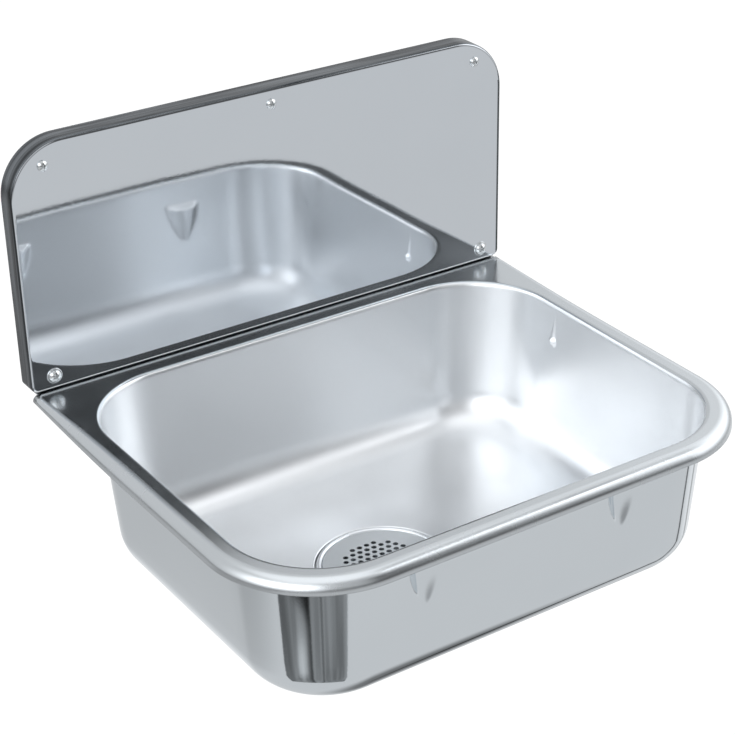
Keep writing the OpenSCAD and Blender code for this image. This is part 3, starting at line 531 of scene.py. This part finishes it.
# Painted shade: the deck and roll are darker copies of the bowl's steel colour.
deck_finish_and_shade = steel("deck_polish_and_painted_shade", (0.66, 0.69, 0.71), 0.20, grain_size=900, grain_depth=0.015, brushed=0.3)
roll_finish_and_shade = steel("roll_polish_and_painted_shade", (0.68, 0.71, 0.73), 0.26, grain_size=900, grain_depth=0.04)
bowl = piece("pressed_basin", points, faces, [satin, polished, deck_finish_and_shade, polished, roll_finish_and_shade, polished], kinds)
# The sheet's other side and its cut edge take the finish that comes after each side's own.
sheet = bowl.modifiers.new("sheet", "SOLIDIFY")
sheet.thickness = SHEET / 1000
sheet.offset = -1
sheet.material_offset = 1
sheet.material_offset_rim = 1
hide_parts("basin")

# Splashback: a shallow pan of mirror-polished sheet, folded on all four sides with rounded top corners. It stands
# on the deck on a sealing strip and is screwed to the wall at five places. Its foot's fold is cut back for the
# deck's upstand. The folds are painted near black with streaks, a painted dark reflection, and the face's foot
# edge is painted near white, a painted highlight.
SPLASH_HALF, SPLASH_TOP, SPLASH_FOOT, SPLASH_DEPTH, SPLASH_SHEET = 225.0, 203.0, 0.8, 17.5, 1.0
TOP_R, FOOT_R, FOLD, FOLD_STEPS, FACE_BORDER = 45.0, 6.0, 2.3, 8, 3.2
FOOT_BELOW, FOOT_HALF, FOOT_BACK = 7, 221.5, 1.8
FACE, FOLDED, BRIGHT = 0, 1, 2


def solid_finish(name, dark, light, size, rough, relief=0.0, stretch=(1, 1, 1), metal=0.0):
    """A dull finish whose colour and shine drift from place to place, with a fine rough skin."""
    made, tree = shader(name)
    here = node(tree, "ShaderNodeTexCoord").outputs["Object"]
    along = node(tree, "ShaderNodeVectorMath", {0: here, 1: stretch}, operation="MULTIPLY").outputs[0]
    patches = node(tree, "ShaderNodeTexNoise", {"Vector": along, "Scale": size, "Detail": 6.0,
                                                "Roughness": 0.6}).outputs[0]
    share = node(tree, "ShaderNodeMapRange", {0: patches, 1: 0.35, 2: 0.65}).outputs[0]
    tone = node(tree, "ShaderNodeMapRange", {0: patches, 1: 0.3, 2: 0.7, 3: rough * 0.85, 4: rough * 1.15})
    skin = node(tree, "ShaderNodeTexNoise", {"Vector": along, "Scale": size * 9, "Detail": 4.0})
    bump = node(tree, "ShaderNodeBump", {"Strength": relief, "Distance": 0.001, "Height": skin.outputs[0]})
    body = node(tree, "ShaderNodeBsdfPrincipled", {"Base Color": blended(tree, share, dark, light),
                                                   "Roughness": tone.outputs[0], "Metallic": metal,
                                                   "Normal": bump.outputs[0]})
    node(tree, "ShaderNodeOutputMaterial", {0: body.outputs[0]})
    return made


def splash_line(inset):
    """The splashback's outline as (x, z), moved inwards, with as many points in each corner."""
    line = []
    for k, (sx, sz, r) in enumerate([(1, 1, TOP_R), (-1, 1, TOP_R), (-1, -1, FOOT_R), (1, -1, FOOT_R)]):
        cx = sx * (SPLASH_HALF - r)
        cz = SPLASH_TOP - r if sz > 0 else SPLASH_FOOT + r
        for i in range(CORNER_STEPS + 1):
            p = around(math.pi / 2 * (k + i / CORNER_STEPS)) * (r - inset)
            line.append((cx + p.x, cz + p.y))
    return line


fold_turns = [math.pi / 2 * i / FOLD_STEPS for i in range(FOLD_STEPS + 1)]
splash_profile = [(9.0, SPLASH_DEPTH), (FACE_BORDER, SPLASH_DEPTH)]
splash_profile += [(FOLD * (1 - math.sin(a)), SPLASH_DEPTH - FOLD * (1 - math.cos(a))) for a in fold_turns]
splash_profile += [(0, 14.4), (0, 1.0), (0, 0)]
splash_rows = []
for inset, depth in splash_profile:
    foot_depth = max(depth, FOOT_BACK + 0.6 * depth)
    splash_rows.append([(x, -(foot_depth if z < FOOT_BELOW and abs(x) < FOOT_HALF else depth), z)
                        for x, z in splash_line(min(inset, FOOT_R - 0.2))])
count = len(splash_rows[0])
points = [p for row in splash_rows for p in row]
faces = [(n * count + i, (n + 1) * count + i, (n + 1) * count + (i + 1) % count, n * count + (i + 1) % count)
         for n in range(len(splash_rows) - 1) for i in range(count)]
# Rows 3 to 5 are the start of the bend; at the foot they take the painted highlight. At the right end the painted
# dark of the fold starts at the face's border.
kinds = []
for i in range(len(faces)):
    x, _, z = points[i]
    row = i // count
    fold_from = 1 if x > FOOT_HALF else 5
    kinds.append(BRIGHT if z < 4 and 3 <= row <= 5 else FOLDED if row >= fold_from else FACE)
faces.append(tuple(range(count)))
kinds.append(FACE)
mirror = steel("mirror_sheet", (0.77, 0.806, 0.845), 0.035, grain_size=500, grain_depth=0.008, wave=0.0004,
               lean=0.0148)
# Painted dark reflection: the folds get a near-black steel colour with streaks.
folded = solid_finish("fold_painted_dark_reflection", (0.02, 0.023, 0.026), (0.22, 0.235, 0.25), 60, 0.26, 0.05,
                      stretch=(0.12, 4.0, 0.12), metal=1.0)
# Painted highlight: the foot's bend gets a near-white dull colour.
foot_edge = solid_finish("foot_bend_painted_highlight", (0.88, 0.89, 0.90), (0.94, 0.95, 0.96), 80, 0.45, 0.05)
splash = piece("mirror_splashback", points, faces, [mirror, folded, foot_edge], kinds)
sheet = splash.modifiers.new("sheet", "SOLIDIFY")
sheet.thickness = SPLASH_SHEET / 1000
sheet.offset = -1
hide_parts("splashback")

# Core and sealing strip: a pressed fibre board fills the splashback's back and keeps the sheet from drumming.
# A thin strip of grey sealant lies between the splashback's foot and the deck.


def dress(name, material):
    """Gives a piece of the fixed model its finish."""
    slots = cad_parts[name].data.materials
    for i in range(len(slots)):
        slots[i] = material


dress("splashback_core", solid_finish("fibre_board", (0.20, 0.13, 0.07), (0.36, 0.25, 0.15), 140, 0.75, 0.5,
                                      stretch=(1, 1, 0.4)))
dress("foot_seal", solid_finish("grey_sealant", (0.10, 0.105, 0.11), (0.18, 0.19, 0.19), 90, 0.5, 0.15))

# Screws: pan heads with a cross recess, a crowned top and a rounded edge; below them a neck and a rolled thread.
# Two large ones go through washers and the deck's upstand, three small ones hold the splashback's top.
HEAD_SIDES, CROWN_STEPS, SHANK_SIDES, THREAD_STEPS = 120, 30, 32, 7
WALL_SCREW_X, WALL_SCREW_Z, WASHER_HIGH = 205, 12, 0.8


def lathe(rings, segments, at=(0, 0), start=0):
    """Rings of (radius, height) turned about an upright axis; gives points and faces."""
    turns = [2 * math.pi * i / segments for i in range(segments)]
    turned = [(at[0] + r * math.cos(a), at[1] + r * math.sin(a), z) for r, z in rings for a in turns]
    sides = [(start + n * segments + i, start + n * segments + (i + 1) % segments,
              start + (n + 1) * segments + (i + 1) % segments, start + (n + 1) * segments + i)
             for n in range(len(rings) - 1) for i in range(segments)]
    return turned, sides


def cross_depth(x, y, d):
    """How deep the cross recess is at this place of a head of diameter d."""
    def arm(along, across):
        wide = lerp(0.075, 0.05, min(1.0, abs(along) / (0.28 * d))) * d
        return ease((wide - abs(across)) / (0.03 * d)) * ease((0.30 * d - abs(along)) / (0.06 * d))
    return 0.17 * d * max(arm(x, y), arm(y, x))


def screw_form(d, length, head_d, neck, pitch, turned=0.0):
    """A screw along z with its head's underside at z = 0: points and faces of the head, then of the shank."""
    high, dome = 0.34 * head_d, 0.62 * head_d
    radii = [0.0005 * head_d] + [0.45 * head_d * i / CROWN_STEPS for i in range(1, CROWN_STEPS + 1)]
    crown = [(r, high - dome + math.sqrt(dome * dome - r * r)) for r in radii]
    edge = [(0.47, 0.137), (0.485, 0.125), (0.495, 0.11), (0.5, 0.09), (0.5, 0.015), (0.49, 0.0), (0.30, 0.0)]
    rings = crown + [(r * head_d, z * head_d) for r, z in edge]
    points, faces = lathe(rings, HEAD_SIDES)
    for i in range(len(crown) * HEAD_SIDES):
        x, y, z = points[i]
        points[i] = (x, y, z - cross_depth(x * math.cos(turned) + y * math.sin(turned),
                                           y * math.cos(turned) - x * math.sin(turned), head_d))
    faces.append(tuple(range(HEAD_SIDES - 1, -1, -1)))
    faces.append(tuple((len(rings) - 1) * HEAD_SIDES + i for i in range(HEAD_SIDES)))
    core, tip = 0.36 * d, 1.2 * d
    rows = max(2, round((length - neck) / pitch * THREAD_STEPS))
    levels = [0.3, -neck * 0.5, -neck] + [-neck - (length - neck) * i / rows for i in range(1, rows + 1)]
    start = len(points)
    for z in levels:
        for i in range(SHANK_SIDES):
            a = 2 * math.pi * i / SHANK_SIDES
            left = length + z
            crest = abs(((z / pitch - i / SHANK_SIDES) % 1.0) * 2 - 1) ** 2.2
            grown = ease((-z - neck) / pitch) * min(1.0, left / tip)
            r = core * min(1.0, 0.12 + 0.88 * left / tip) + (d / 2 - core) * crest * grown
            points.append((r * math.cos(a), r * math.sin(a), z))
    last = start + (len(levels) - 1) * SHANK_SIDES
    for row in range(start, last, SHANK_SIDES):
        for i in range(SHANK_SIDES):
            j = (i + 1) % SHANK_SIDES
            faces.append((row + SHANK_SIDES + i, row + SHANK_SIDES + j, row + j, row + i))
    faces.append(tuple(last + i for i in range(SHANK_SIDES)))
    faces.append(tuple(start + SHANK_SIDES - 1 - i for i in range(SHANK_SIDES)))
    return points, faces


def screws(name, places, form, face_y, material, replaced):
    """One piece of like screws that point at the wall, each at its (x, z)."""
    points, faces = [], []
    for x, z in places:
        start = len(points)
        points += [(x + px, face_y - pz, z + py) for px, py, pz in form[0]]
        faces += [tuple(start + i for i in f) for f in form[1]]
    made = piece(name, points, faces, [material], closed=True)
    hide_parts(replaced)
    return made


screw_steel = steel("screw_steel", (0.78, 0.80, 0.81), 0.14, grain_size=700, grain_depth=0.03)
screws("wall_screw_pair", [(x, WALL_SCREW_Z) for x in (-WALL_SCREW_X, WALL_SCREW_X)],
       screw_form(6, 58, 10, 19.3, 2.6, 0.5), SPLASH_FACE - WASHER_HIGH, screw_steel, "wall_screws")
screws("upper_screw_set", [(-197, 184.5), (0, 190), (197, 184.5)], screw_form(4.2, 34, 8.4, 18.5, 1.4, 0.3),
       SPLASH_FACE, screw_steel, "splashback_screws")
washer = [(3.3, 0.0), (3.3, 0.7), (3.4, WASHER_HIGH), (5.9, WASHER_HIGH), (6.2, 0.72), (6.35, 0.55), (6.4, 0.35),
          (6.4, 0.0), (3.3, 0.0)]
points, faces = [], []
for x in (-WALL_SCREW_X, WALL_SCREW_X):
    turned, sides = lathe(washer, 96, start=len(points))
    points += [(x + px, SPLASH_FACE - pz, WALL_SCREW_Z + py) for px, py, pz in turned]
    faces += sides
washers = piece("washer_pair", points, faces, [screw_steel], closed=True)
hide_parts("wall_screw_washers")

# Wall brackets: a zinc-plated plate on each side, bent so that one leg carries the deck and the foot's tab
# presses a rubber heel pad against the bowl's back wall. Two pan-head screws fix each to the wall.
BRACKET_X, BRACKET_HALF, PLATE, TAB_CORNER, TAB_STRIPS, BEND_PARTS = 110.0, 20.0, 3.0, 5.0, 8, 8
zinc = solid_finish("zinc_plating", (0.34, 0.36, 0.38), (0.52, 0.55, 0.57), 60, 0.34, 0.06, metal=1.0)
# The plate's middle line as (y, z): out under the deck, down the wall, and out again to the tab that turns down.
bend_way = [(-30.0, -2.7)]
for cy, cz, start_turn, end_turn in ((-4.5, -5.7, 90, 0), (-4.5, -68.7, 360, 270), (-31.46, -74.7, 90, 180)):
    for i in range(BEND_PARTS + 1):
        a = math.radians(lerp(start_turn, end_turn, i / BEND_PARTS))
        bend_way.append((cy + PLATE * math.cos(a), cz + PLATE * math.sin(a)))
bend_way.append((-34.46, -94.2))
length = [0.0]
for a, b in zip(bend_way, bend_way[1:]):
    length.append(length[-1] + math.dist(a, b))


def on_bend(s):
    """The place at a length along the plate's middle line."""
    for i in range(len(length) - 1):
        if s <= length[i + 1] + 1e-6:
            t = (s - length[i]) / (length[i + 1] - length[i])
            return lerp(bend_way[i][0], bend_way[i + 1][0], t), lerp(bend_way[i][1], bend_way[i + 1][1], t)


rounding = [0, 0.4, 1.2, 2.4, 3.8, TAB_CORNER]
stations = rounding + length[1:-1] + [length[-1] - s for s in reversed(rounding)]
across_n = TAB_STRIPS + 1
for side in (-1, 1):
    points = []
    for s in stations:
        y, z = on_bend(s)
        near_end = min(s, length[-1] - s)
        half = BRACKET_HALF - TAB_CORNER + math.sqrt(TAB_CORNER ** 2 - max(0.0, TAB_CORNER - near_end) ** 2)
        points += [(side * BRACKET_X + half * (2 * i / TAB_STRIPS - 1), y, z) for i in range(across_n)]
    faces = [(n * across_n + i, n * across_n + i + 1, (n + 1) * across_n + i + 1, (n + 1) * across_n + i)
             for n in range(len(stations) - 1) for i in range(TAB_STRIPS)]
    bracket = piece(("left" if side < 0 else "right") + "_bent_bracket", points, faces, [zinc])
    plate = bracket.modifiers.new("plate", "SOLIDIFY")
    plate.thickness = PLATE / 1000
    plate.offset = 0
    edges = bracket.modifiers.new("edges", "BEVEL")
    edges.width = 0.0004
    edges.segments = 2
    edges.angle_limit = math.radians(50)
    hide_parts(("left" if side < 0 else "right") + "_wall_bracket")
screws("bracket_screw_set", [(side * BRACKET_X, z) for side in (-1, 1) for z in (-21.2, -54.2)],
       screw_form(6, 50, 12, 4, 2.6, 0.9), -PLATE, zinc, "bracket_screws")
rubber = solid_finish("black_rubber", (0.014, 0.014, 0.015), (0.03, 0.03, 0.032), 120, 0.6, 0.2)
dress("heel_pads", rubber)

# Waste: a cup with a bright rounded bead sits in the recess on a foam seal; its floor has eight round holes about
# the clamping screw, which draws up the body from below the bowl. The rest of the cup is painted dark, as shade
# inside it that the strainer's holes show.
CUP_SIDES, CUP_R, CUP_FLOOR, CUP_FLOOR_UNDER, CLAMP_HOLE_R = 192, 40, -162.6, -163.6, 3.4
HOLE_RING_R, CUP_HOLE_R, CUP_HOLES = 24, 4.5, 8
turned_at = (DRAIN.x / 1000, DRAIN.y / 1000, 0)
# Painted shade: the cup's steel colour is dark so that its inside looks shaded through the holes.
cup_steel_painted_dark = steel("turned_cup_painted_shade", (0.40, 0.42, 0.44), 0.20, grain_size=700, grain_depth=0.03, turned=turned_at)
bead_steel = steel("polished_bead_steel", (0.86, 0.88, 0.90), 0.27, grain_size=700, grain_depth=0.02,
                   turned=turned_at)


def arc(cx, cz, r, start_turn, end_turn, parts):
    """Points of (radius, height) on part of a circle."""
    turns = [math.radians(lerp(start_turn, end_turn, i / parts)) for i in range(parts + 1)]
    return [(cx + r * math.cos(a), cz + r * math.sin(a)) for a in turns]


cup = [(CUP_R, CUP_FLOOR)] + arc(CUP_R, -160.6, 2, 270, 360, 6) + [(42, -150)] + arc(43.2, -139.0, 1.2, 180, 90, 6)
bead_from = len(cup)
cup += [(47.6, -137.8)] + arc(51.1, -137.9, 2.3, 178, -22, 24) + [(44.2, -138.8), (43.4, -139.2)]
bead_to = len(cup) - 1
cup += [(43, -140), (43, -160.6)] + arc(CUP_R, -160.6, 3, 0, -90, 6) + [(CUP_R, CUP_FLOOR)]
points, faces = lathe(cup, CUP_SIDES, DRAIN)


def plate_with_holes(name, outline_r, holes, low, high, bevel, hole_points=40):
    """A round plate about the drain's axis, with holes and broken edges: sizes in millimetres, mesh in metres."""
    plan = bpy.data.curves.new(name, "CURVE")
    plan.dimensions = "2D"
    plan.fill_mode = "BOTH"
    plan.extrude = (high - low) / 2000 - bevel / 1000
    plan.bevel_depth = bevel / 1000
    plan.bevel_resolution = 2
    rounds = [(0, 0, outline_r - bevel, CUP_SIDES)] + [(x, y, r + bevel, hole_points) for x, y, r in holes]
    for x, y, r, parts in rounds:
        ring = plan.splines.new("POLY")
        ring.points.add(parts - 1)
        ring.use_cyclic_u = True
        for i in range(parts):
            a = 2 * math.pi * i / parts
            ring.points[i].co = ((DRAIN.x + x + r * math.cos(a)) / 1000,
                                 (DRAIN.y + y + r * math.sin(a)) / 1000, 0, 1)
    drawn = bpy.data.objects.new(name, plan)
    bpy.context.collection.objects.link(drawn)
    bpy.context.view_layer.update()
    mesh = bpy.data.meshes.new_from_object(drawn.evaluated_get(bpy.context.evaluated_depsgraph_get()))
    bpy.data.objects.remove(drawn)
    bpy.data.curves.remove(plan)
    for v in mesh.vertices:
        v.co.z += (low + high) / 2000
    return mesh


hole_turns = [2 * math.pi * n / CUP_HOLES for n in range(CUP_HOLES)]
cup_holes = [(HOLE_RING_R * math.cos(a), HOLE_RING_R * math.sin(a), CUP_HOLE_R) for a in hole_turns]
cup_holes.append((0, 0, CLAMP_HOLE_R))
cup_floor = plate_with_holes("cup_floor", CUP_R, cup_holes, CUP_FLOOR_UNDER, CUP_FLOOR, 0.1)
floor_start = len(points)
points += [tuple(v.co * 1000) for v in cup_floor.vertices]
faces += [tuple(floor_start + i for i in f.vertices) for f in cup_floor.polygons]
kinds = [1 if bead_from <= i // CUP_SIDES < bead_to else 0 for i in range(len(faces))]
flange = piece("turned_waste_cup", points, faces, [cup_steel_painted_dark, bead_steel], kinds, closed=True)
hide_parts("waste_flange")

# Strainer: a flat round plate, punched with rows of holes, that lies loose on the cup's ledge and lifts out.
# Its holes' edges keep a little of the punch's rounding.
STRAINER_R, STRAINER_UNDER, STRAINER_TOP, HOLE_R, PITCH, ZONE_R = 48.3, -137.8, -136.6, 2.2, 6.8, 35.0
ROWS = range(-7, 8)
hole_places = []
for n in ROWS:
    for m in ROWS:
        x, y = (m + (0.5 if n % 2 else 0.0)) * PITCH, n * PITCH * math.sin(math.pi / 3)
        if math.hypot(x, y) <= ZONE_R - HOLE_R:
            hole_places.append((x, y, HOLE_R))
plate_mesh = plate_with_holes("strainer_plate", STRAINER_R, hole_places, STRAINER_UNDER, STRAINER_TOP, 0.18,
                              hole_points=32)
strainer_steel = steel("strainer_steel", (0.78, 0.81, 0.83), 0.24, grain=(1, 0.03, 1), grain_size=1400,
                       grain_depth=0.06)
strainer = piece("punched_strainer", [tuple(v.co * 1000) for v in plate_mesh.vertices],
                 [tuple(f.vertices) for f in plate_mesh.polygons], [strainer_steel], body="lift_out_strainer",
                 smooth=False, closed=True)
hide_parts("strainer")

# Below the bowl: the foam seal and the rubber gasket are plain rings; the body is grey plastic, moulded in one
# with its outlet's thread, and ribs in the outlet's mouth hold a boss with a brass nut for the clamping screw.
dress("flange_seal", rubber)
dress("waste_gasket", rubber)
plastic = solid_finish("grey_plastic", (0.50, 0.50, 0.48), (0.56, 0.56, 0.54), 25, 0.42, 0.05)
BODY_SIDES, BOSS_SIDES, PIPE_PITCH, OUTLET_R, THREAD_DEEP = 96, 64, 2.309, 23.9, 1.4
THREAD_TOP, THREAD_FOOT, ROWS_A_TURN, THREAD_ROWS = -179, -207.2, 8, 95
shell = [(46, -144), (56.6, -144), (57, -144.4), (57, -148.6), (56.6, -149)] + arc(51, -151, 2, 90, 180, 5)
shell += [(49, -172.6)] + arc(46, -172.6, 3, 0, -90, 6) + arc(25.9, -177.6, 2, 90, 180, 5)
thread_rows = [(OUTLET_R, THREAD_TOP - PIPE_PITCH * i / ROWS_A_TURN) for i in range(THREAD_ROWS)]
ends = [(OUTLET_R - 1.2, THREAD_FOOT), (OUTLET_R - 1.6, -207.6), (20.4, -207.6), (20, THREAD_FOOT), (20, -173)]
ends += [(20.4, -172.6)] + arc(44, -170.6, 2, 270, 360, 5) + [(46, -144)]
first_thread = len(shell)
points, faces = lathe(shell + thread_rows + ends, BODY_SIDES, DRAIN)
for n in range(THREAD_ROWS):
    for i in range(BODY_SIDES):
        number = (first_thread + n) * BODY_SIDES + i
        z = points[number][2]
        crest = abs(((z / PIPE_PITCH + i / BODY_SIDES) % 1.0) * 2 - 1)
        fade = ease((THREAD_TOP - z) / 3) * ease((z - THREAD_FOOT) / 2)
        r = OUTLET_R - THREAD_DEEP * fade * (1 - crest)
        a = 2 * math.pi * i / BODY_SIDES
        points[number] = (DRAIN.x + r * math.cos(a), DRAIN.y + r * math.sin(a), z)
boss = [(4.5, -163.8), (4.7, -163.6), (7.1, -163.6), (7.5, -164.0), (7.5, -186.2), (7.1, -186.6), (3.8, -186.6),
        (3.4, -186.2), (3.4, -175.6), (4.5, -175.6), (4.5, -163.8)]
turned, sides = lathe(boss, BOSS_SIDES, DRAIN, len(points))
points += turned
faces += sides
rib = ((-1.5, -172.9), (-1.2, -172.6), (1.2, -172.6), (1.5, -172.9), (1.5, -186.3), (1.2, -186.6), (-1.2, -186.6),
       (-1.5, -186.3))
for quarter in range(4):
    way = around(math.pi / 2 * quarter)
    across = Vector((-way.y, way.x))
    start, n = len(points), len(rib)
    for out in (7.0, 20.6):
        for u, z in rib:
            p = DRAIN + way * out + across * u
            points.append((p.x, p.y, z))
    faces += [(start + i, start + n + i, start + n + (i + 1) % n, start + (i + 1) % n) for i in range(n)]
    faces += [tuple(range(start + n - 1, start - 1, -1)), tuple(range(start + n, start + 2 * n))]
body = piece("moulded_waste_body", points, faces, [plastic], closed=True)
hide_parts("waste_body")
dress("insert_nut", steel("turned_brass", (0.72, 0.52, 0.22), 0.25, grain_size=600, grain_depth=0.05,
                          turned=turned_at))
form = screw_form(6, 22, 12, 0.5, 1.0, 0.4)
clamp = piece("clamping_screw_turned", [(DRAIN.x + x, DRAIN.y + y, CUP_FLOOR + z) for x, y, z in form[0]],
              form[1], [screw_steel], closed=True)
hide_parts("clamping_screw")
